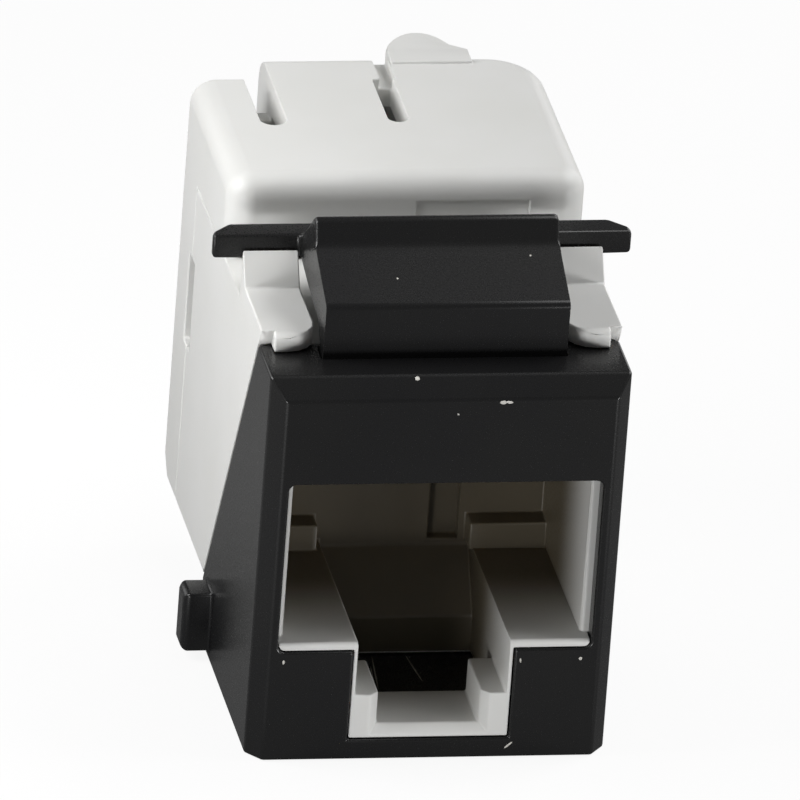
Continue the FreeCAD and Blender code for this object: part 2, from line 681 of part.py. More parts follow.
def make_cap():
    """Cap over the top and the rear, with wire slots, a strain relief tongue and a cable entry."""
    body = new_body("wire_cap")
    side = [
        ("cap_front", CAP_SEAT),
        (CAP_SEAM, CAP_SEAT),
        (CAP_SEAM, "body_bottom"),
        ("cap_rear - cap_foot_chamfer", "body_bottom"),
        ("cap_rear", "body_bottom + cap_foot_chamfer"),
        ("cap_rear", CAP_TOP),
        ("cap_front", CAP_TOP),
    ]
    pad(body, "shell", "YZ_Plane", [side], "frame_width")
    boss = [
        ("cap_rear - body_wall / 2", "boss_bottom - (boss_rear - cap_rear)"),
        ("cap_rear", "boss_bottom - (boss_rear - cap_rear)"),
        ("boss_rear", "boss_bottom"),
        ("boss_rear", CAP_TOP),
        ("cap_rear - body_wall / 2", CAP_TOP),
    ]
    pad(body, "boss", "YZ_Plane", [boss], f"{FRAME_HALF} - {SLOT_ONE_RIGHT}", SLOT_ONE_RIGHT)
    dress("Fillet", body, "boss_corner", "boss_round",
          lambda box: flat_in(box, 1, "boss_rear") and near(box.XMin, value_of(FRAME_HALF))
          and not near(box.ZMin, box.ZMax))
    dress("Fillet", body, "front_corners", "cap_corner",
          lambda box: flat_in(box, 1, "cap_front") and not near(box.ZMin, box.ZMax))
    dress("Fillet", body, "top_edges", "cap_round",
          lambda box: flat_in(box, 2, CAP_TOP)
          and (flat_in(box, 1, "cap_front") or flat_in(box, 1, "boss_rear")
               or flat_in(box, 0, f"-({FRAME_HALF})")))
    inside = [
        ("cap_front + body_wall", f"{CAP_SEAT} - fit_gap"),
        ("cap_front + body_wall", f"{CAP_TOP} - cap_roof"),
        (CAP_LIP, f"{CAP_TOP} - cap_roof"),
        (CAP_LIP, ROOM_FLOOR),
        ("seam_depth", ROOM_FLOOR),
        ("seam_depth", f"{CAP_SEAT} - fit_gap"),
    ]
    pocket(body, "inside", "YZ_Plane", [inside], f"2 * {ROOM_HALF}")
    hollow = box_outline(f"{SLOT_ONE_RIGHT} + body_wall", f"{FRAME_HALF} - boss_side_wall",
                         "boss_bottom + body_wall", f"{CAP_TOP} - cap_roof")
    pocket(body, "boss_hollow", "XZ_Plane", [hollow], f"boss_rear - body_wall - {CAP_LIP} + fit_gap",
           f"{CAP_LIP} - fit_gap")
    tongue_bottom = f"{TONGUE_TOP} - tongue_thick"
    tongue_left = "tongue_middle - tongue_radius"
    tongue_right = "tongue_middle + tongue_radius"
    pad(body, "tongue_end", "XY_Plane", [("tongue_middle", TONGUE_CENTRE, "tongue_radius")],
        "tongue_thick", tongue_bottom)
    trim = box_outline(tongue_left, tongue_right, f"{TONGUE_CENTRE} - tongue_radius", TONGUE_CENTRE)
    pocket(body, "tongue_trim", "XY_Plane", [trim], "cap_high", CAP_TOP)
    arm = box_outline(tongue_left, tongue_right, "tongue_front", TONGUE_CENTRE)
    pad(body, "tongue", "XY_Plane", [arm], "tongue_thick", tongue_bottom)
    return body


def finish_cap(body):
    """Slots, cable entry, side slit and the snap tongues that hold the cap to the housing."""
    one_radius = "slot_one_width / 2"
    one_floor = f"{CAP_TOP} - slot_one_deep"
    one = box_outline(SLOT_ONE_LEFT, SLOT_ONE_RIGHT, f"slot_one_front + {one_radius}", "overall_depth")
    pocket(body, "slot_one", "XY_Plane", [one], "cap_high", one_floor)
    pocket(body, "slot_one_end", "XY_Plane",
           [(f"{SLOT_ONE_LEFT} + {one_radius}", f"slot_one_front + {one_radius}", one_radius)],
           "cap_high", one_floor)
    two_radius = "slot_two_width / 2"
    two = box_outline("slot_two_left", "slot_two_left + slot_two_width",
                      f"slot_two_front + {two_radius}", "slot_two_rear")
    two_floor = f"{CAP_TOP} - cap_roof - fit_gap"
    pocket(body, "slot_two", "XY_Plane", [two], "cap_high", two_floor)
    pocket(body, "slot_two_end", "XY_Plane",
           [(f"slot_two_left + {two_radius}", f"slot_two_front + {two_radius}", two_radius)],
           "cap_high", two_floor)
    dip = box_outline("dip_left", "dip_left + dip_width", "slot_two_rear", "overall_depth")
    pocket(body, "dip", "XY_Plane", [dip], "cap_high", f"{CAP_TOP} - dip_deep")
    panel_top = f"{CAP_TOP} - panel_drop"
    panel = box_outline("panel_left", "panel_right", f"{panel_top} - panel_high", panel_top)
    pocket(body, "panel", "XZ_Plane", [panel], "panel_deep + fit_gap", "cap_front - fit_gap")
    pocket(body, "cable_entry", "XZ_Plane", [("0", "cable_high", "cable_radius")], "overall_depth", CAP_LIP)
    slit = box_outline("seam_depth", "seam_depth + slit_behind", "slit_bottom", "slit_bottom + slit_high")
    pocket(body, "side_slit", "YZ_Plane", [slit], "frame_width * 2")
    outer = f"({ROOM_HALF} - board_gap)"
    snap_inner = f"{outer} - snap_thick"
    snap_top = "snap_bottom + snap_high"
    snap = box_outline(snap_inner, outer, "snap_bottom", snap_top)
    root = box_outline(snap_inner, f"{ROOM_HALF} + fit_gap", "snap_bottom", snap_top)
    pad(body, "snap_tongues", "XZ_Plane", [snap, mirrored(snap)], "snap_reach * 2",
        f"{CAP_SEAM} - snap_reach")
    pad(body, "snap_roots", "XZ_Plane", [root, mirrored(root)], "snap_reach", CAP_SEAM)


def check_and_export(bodies):
    """Stop on any failed object, then write each piece to its own file."""
    doc.recompute()
    for item in doc.Objects:
        if "Invalid" in item.State or "Error" in item.State:
            raise RuntimeError(f"{item.Name}: {item.State}")
    os.makedirs("parts", exist_ok=True)
    for body in bodies:
        shape = body.Shape
        if shape.isNull() or not shape.isValid() or len(shape.Solids) != 1:
            raise RuntimeError(f"{body.Label}: not one valid solid")
    for body in bodies:
        body.Shape.exportStep(f"parts/{body.Label}.step")
        print(f"{body.Label}: {body.Shape.Volume:.2f} mm3")


def main():
    cap = make_cap()
    finish_cap(cap)
    bodies = [make_frame(), make_latch(), make_housing(), cap, make_carrier(), make_board(), make_block()]
    bodies += [make_contact(number) for number in range(1, CONTACTS + 1)]
    places = enumerate(column_places(), start=1)
    bodies += [make_blade(number, across, level) for number, (across, level, side) in places]
    check_and_export(bodies)


main()
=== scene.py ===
"""Keystone jack: finishes, softened mouldings and studio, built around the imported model.

Every length in this file is in metres unless its name ends in _mm. The frame gives the place and
size of each moulding, so no piece is moved or resized. Mouldings are copied, their edges are
rounded and the end of the cap's tongue is domed, and then they are dressed.
"""

from __future__ import annotations

import json
import logging
import math
from dataclasses import dataclass
from enum import Enum

import bmesh
import bpy
from mathutils import Matrix, Vector

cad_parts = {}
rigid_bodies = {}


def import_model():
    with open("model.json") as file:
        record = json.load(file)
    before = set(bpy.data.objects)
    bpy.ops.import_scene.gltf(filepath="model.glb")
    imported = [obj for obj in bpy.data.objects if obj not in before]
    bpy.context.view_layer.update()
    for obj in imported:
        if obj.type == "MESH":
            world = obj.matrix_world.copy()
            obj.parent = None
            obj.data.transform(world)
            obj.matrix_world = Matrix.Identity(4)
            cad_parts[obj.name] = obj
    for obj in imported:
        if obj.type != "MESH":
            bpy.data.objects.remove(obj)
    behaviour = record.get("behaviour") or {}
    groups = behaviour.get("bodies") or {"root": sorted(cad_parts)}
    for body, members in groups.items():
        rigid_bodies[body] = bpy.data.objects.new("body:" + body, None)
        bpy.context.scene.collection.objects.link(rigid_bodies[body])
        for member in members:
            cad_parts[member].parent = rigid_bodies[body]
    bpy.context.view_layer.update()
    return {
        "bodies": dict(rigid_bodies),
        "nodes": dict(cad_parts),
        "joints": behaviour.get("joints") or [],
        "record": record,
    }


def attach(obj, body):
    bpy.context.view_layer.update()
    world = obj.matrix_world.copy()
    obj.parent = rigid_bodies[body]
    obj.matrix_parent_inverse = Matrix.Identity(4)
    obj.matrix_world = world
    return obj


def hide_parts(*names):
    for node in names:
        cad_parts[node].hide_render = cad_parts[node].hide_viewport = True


LOG = logging.getLogger("keystone_jack")
MM = 0.001

# The sRGB curve: a straight toe up to TOE_END, and a power curve above it
TOE_END = 0.04045
TOE_SLOPE = 12.92
CURVE_LIFT = 0.055
CURVE_POWER = 2.4


class Slot(Enum):
    """Material slots of the record, carried by new pieces, which take their finish from the
    material they are given.
    """

    BLACK = "black_moulding"
    PALE = "pale_moulding"


# ------------------------------------------------------------------------------------------
# Colour and node helpers


def linear(hex_colour: str) -> tuple[float, float, float, float]:
    """Turn an sRGB hex colour into linear light.

    Args:
        hex_colour: Six hex digits, with or without a leading hash.

    Returns:
        Red, green, blue and an alpha of 1.
    """
    digits = hex_colour.lstrip("#")
    channels = [int(digits[k:k + 2], 16) / 255 for k in (0, 2, 4)]
    light = [c / TOE_SLOPE if c <= TOE_END else ((c + CURVE_LIFT) / (1 + CURVE_LIFT)) ** CURVE_POWER
             for c in channels]
    return (light[0], light[1], light[2], 1.0)


def add_node(tree: bpy.types.NodeTree, kind: str, inputs: dict | None = None,
             **settings) -> bpy.types.Node:
    """Add a node with its settings, input values and links.

    Args:
        tree: The node tree that takes the node.
        kind: The node's type name.
        inputs: Values by socket name or number. A value that is itself an output socket is linked.
        settings: Properties set on the node before its inputs.

    Returns:
        The new node.
    """
    node = tree.nodes.new(kind)
    for key, setting in settings.items():
        setattr(node, key, setting)
    for key, value in (inputs or {}).items():
        if isinstance(value, bpy.types.NodeSocket):
            tree.links.new(value, node.inputs[key])
        else:
            node.inputs[key].default_value = value
    return node


def blank_material(name: str) -> tuple[bpy.types.Material, bpy.types.NodeTree]:
    """Make a material with an empty node tree.

    Args:
        name: The material's name.

    Returns:
        The material and its tree.
    """
    material = bpy.data.materials.new(name)
    material.use_nodes = True
    material.node_tree.nodes.clear()
    return material, material.node_tree


# ------------------------------------------------------------------------------------------
# Finishes


@dataclass(frozen=True)
class Hollow:
    """A box inside a moulding where its colour darkens from the front towards the rear: painted
    shade for the little light that reaches deep inside.
    """

    colour: str
    front_mm: float
    rear_mm: float
    half_width_mm: float
    low_mm: float
    high_mm: float

    def share(self, tree: bpy.types.NodeTree, place: bpy.types.NodeSocket) -> bpy.types.NodeSocket:
        """Say how far a point lies in the hollow.

        Args:
            tree: The node tree that takes the nodes.
            place: The point in object coordinates.

        Returns:
            None outside, rising to one from the hollow's front to its rear.
        """
        axis = add_node(tree, "ShaderNodeSeparateXYZ", {0: place}).outputs
        deep = add_node(tree, "ShaderNodeMapRange", {
            "Value": axis["Y"], "From Min": self.front_mm * MM, "From Max": self.rear_mm * MM,
        }, interpolation_type="SMOOTHSTEP")
        across = add_node(tree, "ShaderNodeMath", {0: axis["X"]}, operation="ABSOLUTE")
        limits = ((across.outputs[0], self.half_width_mm, "LESS_THAN"),
                  (axis["Z"], self.high_mm, "LESS_THAN"),
                  (axis["Z"], self.low_mm, "GREATER_THAN"))
        share = deep.outputs["Result"]
        for measure, limit, side in limits:
            within = add_node(tree, "ShaderNodeMath", {0: measure, 1: limit * MM}, operation=side)
            share = add_node(tree, "ShaderNodeMath", {0: share, 1: within.outputs[0]},
                             operation="MULTIPLY").outputs[0]
        return share


@dataclass(frozen=True)
class MouldedPlastic:
    """Injection-moulded plastic: an even colour, a fine mould grain and a slightly uneven sheen.

    The grain is the print of a spark-eroded mould. Its width is an estimate of the real one, a
    tenth of a millimetre or less, and it is drawn at that width.
    """

    name: str
    colour: str
    shade: str
    roughness: float
    roughness_spread: float = 0.06
    grain_mm: float = 0.09
    grain_depth_mm: float = 0.002
    flow_mm: float = 6.0
    ior: float = 1.53
    soft_depth: float = 0.0
    soft_mm: float = 0.5
    soft_tint: tuple[float, float, float] = (1.0, 0.9, 0.8)
    drift_range: tuple[float, float] = (0.35, 0.65)
    grain_range: tuple[float, float] = (0.3, 0.7)
    grain_strength: float = 0.35
    hollow: Hollow | None = None

    def build(self) -> bpy.types.Material:
        """Build the material.

        Returns:
            A material whose colour drifts slowly and whose grain is a fine bump.
        """
        material, tree = blank_material(self.name)
        place = add_node(tree, "ShaderNodeTexCoord").outputs["Object"]
        flow = add_node(tree, "ShaderNodeTexNoise", {
            "Vector": place, "Scale": 1 / (self.flow_mm * MM), "Detail": 3.0, "Roughness": 0.5})
        drift = add_node(tree, "ShaderNodeMapRange", {
            "Value": flow.outputs["Fac"], "From Min": self.drift_range[0],
            "From Max": self.drift_range[1]})
        colour = add_node(tree, "ShaderNodeMix", {
            "Factor": drift.outputs["Result"], 6: linear(self.colour), 7: linear(self.shade),
        }, data_type="RGBA")
        # Painted shade: inside the hollow the colour darkens towards the rear
        if self.hollow:
            colour = add_node(tree, "ShaderNodeMix", {
                "Factor": self.hollow.share(tree, place), 6: colour.outputs[2],
                7: linear(self.hollow.colour)}, data_type="RGBA")
        grain = add_node(tree, "ShaderNodeTexNoise", {
            "Vector": place, "Scale": 1 / (self.grain_mm * MM), "Detail": 2.0, "Roughness": 0.6})
        sheen = add_node(tree, "ShaderNodeMapRange", {
            "Value": grain.outputs["Fac"], "From Min": self.grain_range[0],
            "From Max": self.grain_range[1], "To Min": self.roughness - self.roughness_spread,
            "To Max": self.roughness + self.roughness_spread})
        bump = add_node(tree, "ShaderNodeBump", {
            "Height": grain.outputs["Fac"], "Strength": self.grain_strength,
            "Distance": self.grain_depth_mm * MM})
        shader = add_node(tree, "ShaderNodeBsdfPrincipled", {
            "Base Color": colour.outputs[2], "Roughness": sheen.outputs["Result"],
            "IOR": self.ior, "Normal": bump.outputs["Normal"],
            "Subsurface Weight": self.soft_depth, "Subsurface Radius": self.soft_tint,
            "Subsurface Scale": self.soft_mm * MM})
        add_node(tree, "ShaderNodeOutputMaterial", {"Surface": shader.outputs["BSDF"]})
        return material


@dataclass(frozen=True)
class PlatedStrip:
    """Plated spring metal: stamped strip with fine rolling lines under a thin bright plate.

    Real rolling lines are finer, by estimate a few thousandths of a millimetre apart. That is too
    fine to show, so they are drawn coarser, at line_mm.
    """

    name: str
    colour: str
    worn: str
    roughness: float
    line_mm: float = 0.03
    line_stretch: float = 0.05
    line_depth_mm: float = 0.002
    line_strength: float = 0.2
    stain_mm: float = 0.8
    stain_range: tuple[float, float] = (0.45, 0.75)
    sheen_share: tuple[float, float] = (0.7, 1.4)

    def build(self) -> bpy.types.Material:
        """Build the material.

        Returns:
            A metal whose rolling lines run along the strip and stretch its highlights.
        """
        material, tree = blank_material(self.name)
        place = add_node(tree, "ShaderNodeTexCoord").outputs["Object"]
        along = add_node(tree, "ShaderNodeMapping", {
            "Vector": place, "Scale": (1.0, self.line_stretch, self.line_stretch)})
        lines = add_node(tree, "ShaderNodeTexNoise", {
            "Vector": along.outputs["Vector"], "Scale": 1 / (self.line_mm * MM), "Detail": 2.0})
        stain = add_node(tree, "ShaderNodeTexNoise", {
            "Vector": place, "Scale": 1 / (self.stain_mm * MM), "Detail": 3.0})
        patch = add_node(tree, "ShaderNodeMapRange", {
            "Value": stain.outputs["Fac"], "From Min": self.stain_range[0],
            "From Max": self.stain_range[1]})
        colour = add_node(tree, "ShaderNodeMix", {
            "Factor": patch.outputs["Result"], 6: linear(self.colour), 7: linear(self.worn),
        }, data_type="RGBA")
        sheen = add_node(tree, "ShaderNodeMapRange", {
            "Value": lines.outputs["Fac"], "To Min": self.roughness * self.sheen_share[0],
            "To Max": self.roughness * self.sheen_share[1]})
        bump = add_node(tree, "ShaderNodeBump", {
            "Height": lines.outputs["Fac"], "Strength": self.line_strength,
            "Distance": self.line_depth_mm * MM})
        shader = add_node(tree, "ShaderNodeBsdfPrincipled", {
            "Base Color": colour.outputs[2], "Roughness": sheen.outputs["Result"],
            "Normal": bump.outputs["Normal"], "Metallic": 1.0})
        add_node(tree, "ShaderNodeOutputMaterial", {"Surface": shader.outputs["BSDF"]})
        return material


@dataclass(frozen=True)
class MaskedLaminate:
    """Glass-epoxy board under green solder mask: the woven cloth shows faintly through the mask.

    The weave's pitch is an estimate of the real cloth's, about half a millimetre.
    """

    name: str
    mask: str
    weave: str
    weave_mm: float = 0.45
    weave_depth_mm: float = 0.004
    weave_strength: float = 0.15
    roughness: float = 0.3
    coat: float = 0.4
    coat_roughness: float = 0.12

    def build(self) -> bpy.types.Material:
        """Build the material.

        Returns:
            A glossy green coat over a faint square weave.
        """
        material, tree = blank_material(self.name)
        place = add_node(tree, "ShaderNodeTexCoord").outputs["Object"]
        turn = 2 * math.pi / (self.weave_mm * MM)
        split = add_node(tree, "ShaderNodeSeparateXYZ", {0: place})
        waves = []
        for axis in ("X", "Z"):
            scaled = add_node(tree, "ShaderNodeMath", {0: split.outputs[axis], 1: turn},
                              operation="MULTIPLY")
            waves.append(add_node(tree, "ShaderNodeMath", {0: scaled.outputs[0]}, operation="SINE"))
        weave = add_node(tree, "ShaderNodeMath", {0: waves[0].outputs[0], 1: waves[1].outputs[0]},
                         operation="MULTIPLY")
        shade = add_node(tree, "ShaderNodeMapRange", {
            "Value": weave.outputs[0], "From Min": -1.0, "From Max": 1.0})
        colour = add_node(tree, "ShaderNodeMix", {
            "Factor": shade.outputs["Result"], 6: linear(self.mask), 7: linear(self.weave),
        }, data_type="RGBA")
        bump = add_node(tree, "ShaderNodeBump", {
            "Height": weave.outputs[0], "Strength": self.weave_strength,
            "Distance": self.weave_depth_mm * MM})
        shader = add_node(tree, "ShaderNodeBsdfPrincipled", {
            "Base Color": colour.outputs[2], "Normal": bump.outputs["Normal"],
            "Roughness": self.roughness, "Coat Weight": self.coat,
            "Coat Roughness": self.coat_roughness})
        add_node(tree, "ShaderNodeOutputMaterial", {"Surface": shader.outputs["BSDF"]})
        return material


# Polycarbonate blend, injection moulded in a smoother mould: near black and fairly glossy
BLACK_SHELL = MouldedPlastic("black_polycarbonate_moulded", "#171718", "#1A1A1A", roughness=0.28,
                             roughness_spread=0.015, grain_mm=0.06, grain_depth_mm=0.0005, ior=1.46)
# ABS, injection moulded satin: pale warm grey that glows slightly at thin edges
PALE_SHELL = MouldedPlastic("pale_abs_moulded", "#E6E6E4", "#E2E2DF", roughness=0.42,
                            soft_depth=0.05)
# The same ABS. It is one colour in reality: the darker, warmer socket stands in for the little
# light that gets so deep
PALE_SOCKET = MouldedPlastic("pale_abs_socket", "#E6E6E4", "#E2E2DF", roughness=0.42,
                             soft_depth=0.05,
                             hollow=Hollow("#5C5547", front_mm=-12.5, rear_mm=-6.0,
                                           half_width_mm=6.05, low_mm=1.0, high_mm=11.6))
# Glass-filled polyester, injection moulded dull: dark brown-grey
DARK_COMB = MouldedPlastic("dark_polyester_moulded", "#2B2824", "#242220", roughness=0.5)
# Dust on the black faces: dull and pale
PALE_DUST = MouldedPlastic("pale_dust", "#DEDCD6", "#C9C6BE", roughness=0.8, flow_mm=0.5)
# Plastic rubbed pale along a scratch
RUBBED_BLACK = MouldedPlastic("rubbed_polycarbonate", "#A9A7A1", "#86847F", roughness=0.6,
                              flow_mm=0.6)
# Phosphor bronze strip, gold plated
GOLD_STRIP = PlatedStrip("gold_plated_bronze", "#E7BE6B", "#D6A552", roughness=0.2)
# Phosphor bronze strip, tin plated
TIN_STRIP = PlatedStrip("tin_plated_bronze", "#C9C8C4", "#A9A8A4", roughness=0.35)
# Glass-epoxy board under solder mask
GREEN_BOARD = MaskedLaminate("solder_masked_laminate", "#0E4A2A", "#155A35")


# ------------------------------------------------------------------------------------------
# Mouldings


def new_object(name: str, mesh: bpy.types.Mesh) -> bpy.types.Object:
    """Link a new object with the mesh at the origin.

    Args:
        name: The object's name.
        mesh: Its mesh.

    Returns:
        The linked object.
    """
    piece = bpy.data.objects.new(name, mesh)
    bpy.context.scene.collection.objects.link(piece)
    return piece


# Two lengths that differ by less than this are the same, in metres
SAME_PLACE = 1e-9
# A face that reaches less far than this beside an edge is the edge's own line, in metres
NO_DEPTH = 1e-7
# Decimals that two faces of one plane agree in
PLANE_DIGITS = 2


@dataclass(frozen=True)
class Sag:
    """A drop of what lies behind and above a line on a moulding, growing away from its crown."""

    behind_mm: float
    above_mm: float
    crown_mm: float
    half_width_mm: float
    left_drop_mm: float
    right_drop_mm: float
    blend_mm: float = 0.3

    def apply(self, mesh: bpy.types.Mesh) -> None:
        """Lower the points of the mesh that lie in reach.

        Args:
            mesh: The finished mesh of the moulding.
        """
        for vertex in mesh.vertices:
            across, depth, level = (part / MM for part in vertex.co)
            if depth < self.behind_mm or level < self.above_mm:
                continue
            reach = (across - self.crown_mm) / self.half_width_mm
            drop = self.right_drop_mm if reach > 0 else self.left_drop_mm
            blend = min(1.0, (depth - self.behind_mm) / self.blend_mm)
            vertex.co.z -= drop * MM * reach * reach * blend


@dataclass
class SoftMoulding:
    """A moulding whose CAD faces are kept and whose sharp edges are rounded like a mould's."""

    node: str
    name: str
    body: str
    slot: Slot
    edge_mm: float
    cuts_mm: tuple[tuple[str, float], ...] = (("X", 0.0),)
    steps: int = 3
    sharp_degrees: float = 28.0
    flat_degrees: float = 1.0
    share: float = 0.45
    weld_mm: float = 0.0005
    stations: tuple[float, ...] = (0.1, 0.5, 0.9)
    straight_on: float = -0.85
    normal_weight: int = 50
    sag: Sag | None = None

    def merged(self, mesh: bpy.types.Mesh) -> bmesh.types.BMesh:
        """Turn loose triangles into flat faces, split only where the cuts across the piece pass.

        Args:
            mesh: The node's mesh.

        Returns:
            The shell with its flat faces merged.
        """
        shell = bmesh.new()
        shell.from_mesh(mesh)
        bmesh.ops.remove_doubles(shell, verts=shell.verts, dist=self.weld_mm * MM)
        flat = math.radians(self.flat_degrees)
        for axis, place in self.cuts_mm:
            across = Vector([1.0 if axis == name else 0.0 for name in "XYZ"])
            cut = bmesh.ops.bisect_plane(shell, geom=[*shell.verts, *shell.edges, *shell.faces],
                                         dist=self.weld_mm * MM, plane_co=across * place * MM,
                                         plane_no=across)
            for item in cut["geom_cut"]:
                if isinstance(item, bmesh.types.BMEdge) and item.is_manifold:
                    item.seam = item.calc_face_angle(0.0) < flat
        bmesh.ops.dissolve_limit(shell, angle_limit=flat, verts=shell.verts, edges=shell.edges,
                                 delimit={"SEAM"})
        return shell

    def room(self, loop: bmesh.types.BMLoop, rivals: list) -> float:
        """Measure how far the face beside an edge reaches before another sharp edge.

        Args:
            loop: The edge's loop in that face.
            rivals: The sharp edges that lie in the face's plane.

        Returns:
            The shortest reach found from three places along the edge.
        """
        start = loop.vert.co
        run = loop.link_loop_next.vert.co - start
        along = run.normalized()
        inward = loop.face.normal.cross(along)
        reach = 1.0
        for station in self.stations:
            here = start + run * station
            for edge in rivals:
                if edge is loop.edge:
                    continue
                one = edge.verts[0].co - here
                two = edge.verts[1].co - here
                u_one, u_two = one.dot(along), two.dot(along)
                if u_one * u_two > 0 or abs(u_one - u_two) < SAME_PLACE:
                    continue
                part = u_one / (u_one - u_two)
                depth = one.dot(inward) * (1 - part) + two.dot(inward) * part
                if depth > NO_DEPTH:
                    reach = min(reach, depth)
        return reach

    def widths(self, shell: bmesh.types.BMesh) -> dict:
        """Choose how far each sharp edge may be rounded so that no rounding meets another.

        Args:
            shell: The merged shell.

        Returns:
            The width of the rounding by edge.
        """
        limit = math.radians(self.sharp_degrees)
        sharp = [edge for edge in shell.edges
                 if edge.is_manifold and edge.calc_face_angle(0.0) > limit]
        planes: dict = {}

        def plane_key(face: bmesh.types.BMFace) -> tuple:
            """Name the plane of a face by its direction and its distance.

            Args:
                face: The face.

            Returns:
                Its normal and its distance in millimetres, both rounded.
            """
            offset = face.normal.dot(face.verts[0].co) / MM
            return (*(round(part, PLANE_DIGITS) for part in face.normal),
                    round(offset, PLANE_DIGITS))

        for edge in sharp:
            for face in edge.link_faces:
                planes.setdefault(plane_key(face), []).append(edge)
        width = {}
        for edge in sharp:
            reach = min(self.room(loop, planes[plane_key(loop.face)]) for loop in edge.link_loops)
            width[edge] = min(self.edge_mm * MM, self.share * reach)
        for edge in sharp:
            for vert in edge.verts:
                ray = (edge.other_vert(vert).co - vert.co).normalized()
                for near in vert.link_edges:
                    if near is not edge and near in width:
                        turn = ray.dot((near.other_vert(vert).co - vert.co).normalized())
                        if turn > self.straight_on:
                            width[near] = min(width[near], self.share * edge.calc_length())
        changed = True
        while changed:
            changed = False
            for vert in shell.verts:
                chain = [edge for edge in vert.link_edges if edge in width]
                if len(chain) != 2:
                    continue
                one, two = chain
                if abs(width[one] - width[two]) > SAME_PLACE:
                    width[one] = width[two] = min(width[one], width[two])
                    changed = True
        return width

    def build(self, frame: dict, material: bpy.types.Material) -> bpy.types.Object:
        """Copy the node's mesh, round its edges and make it stand for the node.

        Args:
            frame: The loaded frame.
            material: The finish of the moulding.

        Returns:
            The rounded piece, riding on its body.
        """
        mesh = frame["nodes"][self.node].data.copy()
        shell = self.merged(mesh)
        weight = shell.edges.layers.float.new("bevel_weight_edge")
        for edge, width in self.widths(shell).items():
            edge[weight] = width / (self.edge_mm * MM)
        for face in shell.faces:
            face.smooth = True
        shell.to_mesh(mesh)
        shell.free()
        rough = new_object(self.name + "_rough", mesh)
        bevel = rough.modifiers.new("round", "BEVEL")
        bevel.width = self.edge_mm * MM
        bevel.segments = self.steps
        bevel.limit_method = "WEIGHT"
        bevel.use_clamp_overlap = False
        bevel.loop_slide = True
        weigh = rough.modifiers.new("weigh", "WEIGHTED_NORMAL")
        weigh.weight = self.normal_weight
        finished = bpy.data.meshes.new_from_object(
            rough.evaluated_get(bpy.context.evaluated_depsgraph_get()))
        finished.name = self.name
        if self.sag:
            self.sag.apply(finished)
        bpy.data.objects.remove(rough)
        finished.materials.clear()
        finished.materials.append(material)
        piece = new_object(self.name, finished)
        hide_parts(self.node)
        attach(piece, self.body)
        return piece


@dataclass(frozen=True)
class Mark:
    """A fleck of dust or a scratch that lies on a surface, by its centre, full size and turn."""

    place_mm: tuple[float, float, float]
    size_mm: tuple[float, float, float]
    turn_deg: tuple[float, float, float]


@dataclass(frozen=True)
class MarkField:
    """Marks of one kind on one body, each a flattened grain set half into the surface."""

    name: str
    body: str
    slot: Slot
    marks: tuple[Mark, ...]
    unit_mm: float = 1.0
    smoothness: int = 3

    def grains(self, material: bpy.types.Material) -> tuple[bpy.types.NodeTree, str]:
        """Build the node tree that sets a grain on every point.

        Args:
            material: The finish of the grains.

        Returns:
            The tree and the identifier of its input for the grain's radius.
        """
        tree = bpy.data.node_groups.new(self.name, "GeometryNodeTree")
        tree.interface.new_socket("Geometry", in_out="INPUT", socket_type="NodeSocketGeometry")
        radius = tree.interface.new_socket("Grain Radius", in_out="INPUT",
                                           socket_type="NodeSocketFloat")
        tree.interface.new_socket("Geometry", in_out="OUTPUT", socket_type="NodeSocketGeometry")
        given = add_node(tree, "NodeGroupInput").outputs
        grain = add_node(tree, "GeometryNodeMeshIcoSphere", {
            "Radius": given["Grain Radius"], "Subdivisions": self.smoothness})
        size = add_node(tree, "GeometryNodeInputNamedAttribute", {"Name": "size"},
                        data_type="FLOAT_VECTOR")
        turn = add_node(tree, "GeometryNodeInputNamedAttribute", {"Name": "turn"},
                        data_type="FLOAT_VECTOR")
        placed = add_node(tree, "GeometryNodeInstanceOnPoints", {
            "Points": given["Geometry"], "Instance": grain.outputs["Mesh"],
            "Rotation": turn.outputs["Attribute"], "Scale": size.outputs["Attribute"]})
        real = add_node(tree, "GeometryNodeRealizeInstances",
                        {"Geometry": placed.outputs["Instances"]})
        dressed = add_node(tree, "GeometryNodeSetMaterial", {
            "Geometry": real.outputs["Geometry"], "Material": material})
        add_node(tree, "NodeGroupOutput", {"Geometry": dressed.outputs["Geometry"]})
        return tree, radius.identifier

    def build(self, material: bpy.types.Material) -> bpy.types.Object:
        """Build the marks as one plain mesh.

        Args:
            material: The finish of the marks.

        Returns:
            The piece, riding on its body.
        """
        mesh = bpy.data.meshes.new(self.name + "_points")
        mesh.from_pydata([[part * MM for part in mark.place_mm] for mark in self.marks], [], [])
        sizes = mesh.attributes.new("size", "FLOAT_VECTOR", "POINT")
        turns = mesh.attributes.new("turn", "FLOAT_VECTOR", "POINT")
        for index, mark in enumerate(self.marks):
            sizes.data[index].vector = mark.size_mm
            turns.data[index].vector = [math.radians(angle) for angle in mark.turn_deg]
        points = new_object(self.name + "_points", mesh)
        tree, radius = self.grains(material)
        spread = points.modifiers.new("grains", "NODES")
        spread.node_group = tree
        spread[radius] = self.unit_mm / 2 * MM
        finished = bpy.data.meshes.new_from_object(
            points.evaluated_get(bpy.context.evaluated_depsgraph_get()))
        finished.name = self.name
        bpy.data.objects.remove(points)
        piece = new_object(self.name, finished)
        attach(piece, self.body)
        return piece


# The end of the strain relief tongue is a soft dome, highest left of its middle, low on its right
TONGUE_DOME = Sag(behind_mm=10.9, above_mm=19.3, crown_mm=2.35, half_width_mm=2.05,
                  left_drop_mm=0.55, right_drop_mm=0.62)
